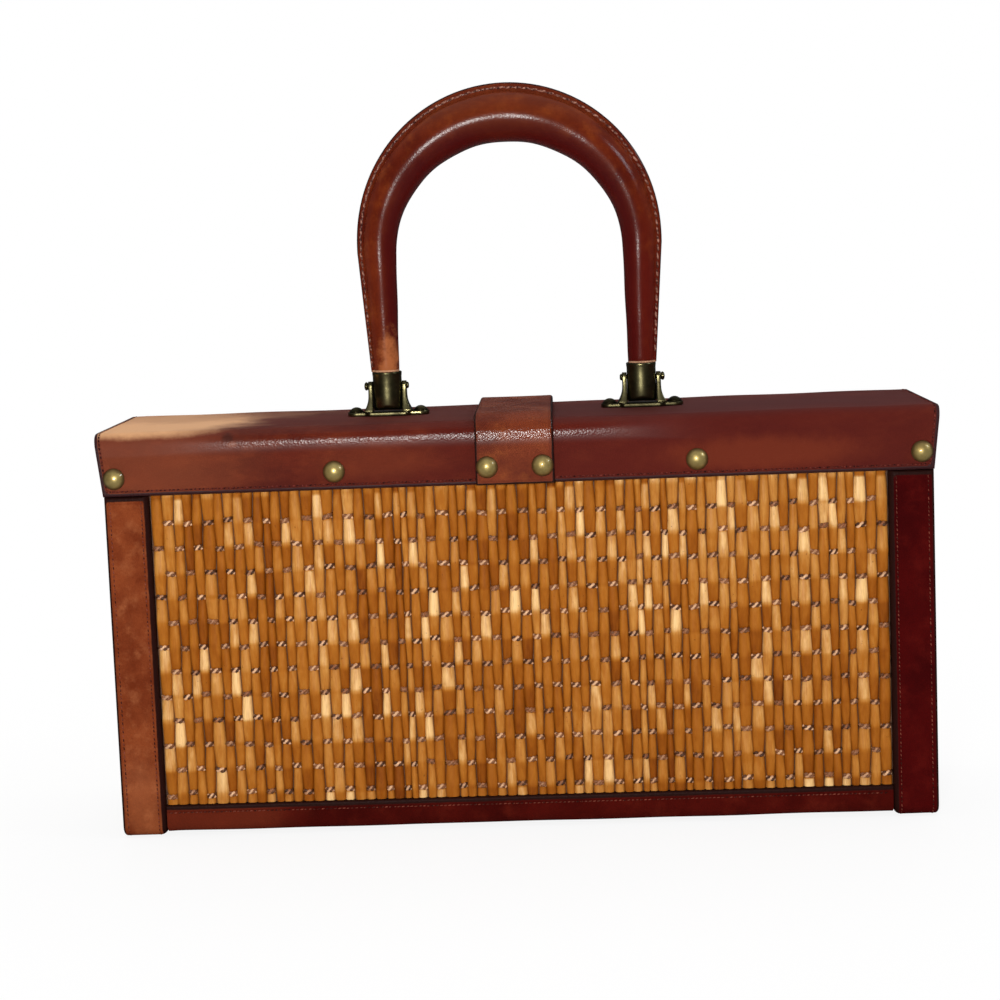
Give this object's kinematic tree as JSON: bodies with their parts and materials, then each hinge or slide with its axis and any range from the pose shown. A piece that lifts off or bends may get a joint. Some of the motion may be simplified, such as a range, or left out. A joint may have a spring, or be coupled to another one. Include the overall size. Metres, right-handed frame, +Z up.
{
  "type": "basket box bag",
  "caption": "Box bag with reed-mat front and back, leather bands and edges, a hinged leather lid with studs and an arched leather handle on brass brackets.",
  "frame": {"origin": "on the floor under the middle of the bag, at the centre of its bounding box's base", "axes": "+X along the width to the viewer's right, +Y from front to back, +Z up"},
  "size_m": [0.361, 0.1028, 0.3225],
  "materials": {
    "lid_leather": "aged, faded in places",
    "strap_leather": "aged, glossy",
    "left_band_leather": "aged, scuffed",
    "right_band_leather": "aged, dark",
    "case_leather": "aged",
    "handle_leather": "worn glossy",
    "reed": "varnished straw",
    "board": "bare plywood",
    "lining": "plain cloth",
    "stud_brass": "aged brass",
    "antique_brass": "antique, darkened",
    "hinge_brass": "aged brass",
    "catch_steel": "plain steel"
  },
  "bodies": {
    "box": {"left_band": "left_band_leather", "right_band": "right_band_leather", "left_end_cover": "case_leather", "right_end_cover": "case_leather", "bottom_wrap": "case_leather", "back_rail": "case_leather", "front_reed_mat": "reed", "back_reed_mat": "reed", "front_board": "board", "back_board": "board", "left_end_board": "board", "right_end_board": "board", "bottom_board": "board", "box_lining": "lining", "hinge_box_leaves": "hinge_brass", "hinge_pins": "hinge_brass", "catch_keeper": "catch_steel"},
    "lid": {"lid_shell": "board", "lid_cover": "lid_leather", "lid_left_end_cover": "lid_leather", "lid_right_end_cover": "lid_leather", "lid_lining": "lining", "lid_strap": "strap_leather", "lid_studs": "stud_brass", "left_bracket": "antique_brass", "right_bracket": "antique_brass", "bracket_pins": "antique_brass", "bracket_nails": "antique_brass", "hinge_lid_leaves": "hinge_brass", "catch_magnet": "catch_steel"},
    "handle": {"handle_grip": "handle_leather", "left_ferrule": "antique_brass", "right_ferrule": "antique_brass"}
  },
  "joints": [
    {"name": "lid_hinge", "type": "hinge", "parent": "box", "child": "lid", "pos_m": [0, 0.0479, 0.15045], "axis": [-1, 0, 0], "range_deg": [0, 100]},
    {"name": "handle_swing", "type": "hinge", "parent": "lid", "child": "handle", "pos_m": [0, 0, 0.191], "axis": [1, 0, 0], "range_deg": [-88, 88]}
  ]
}
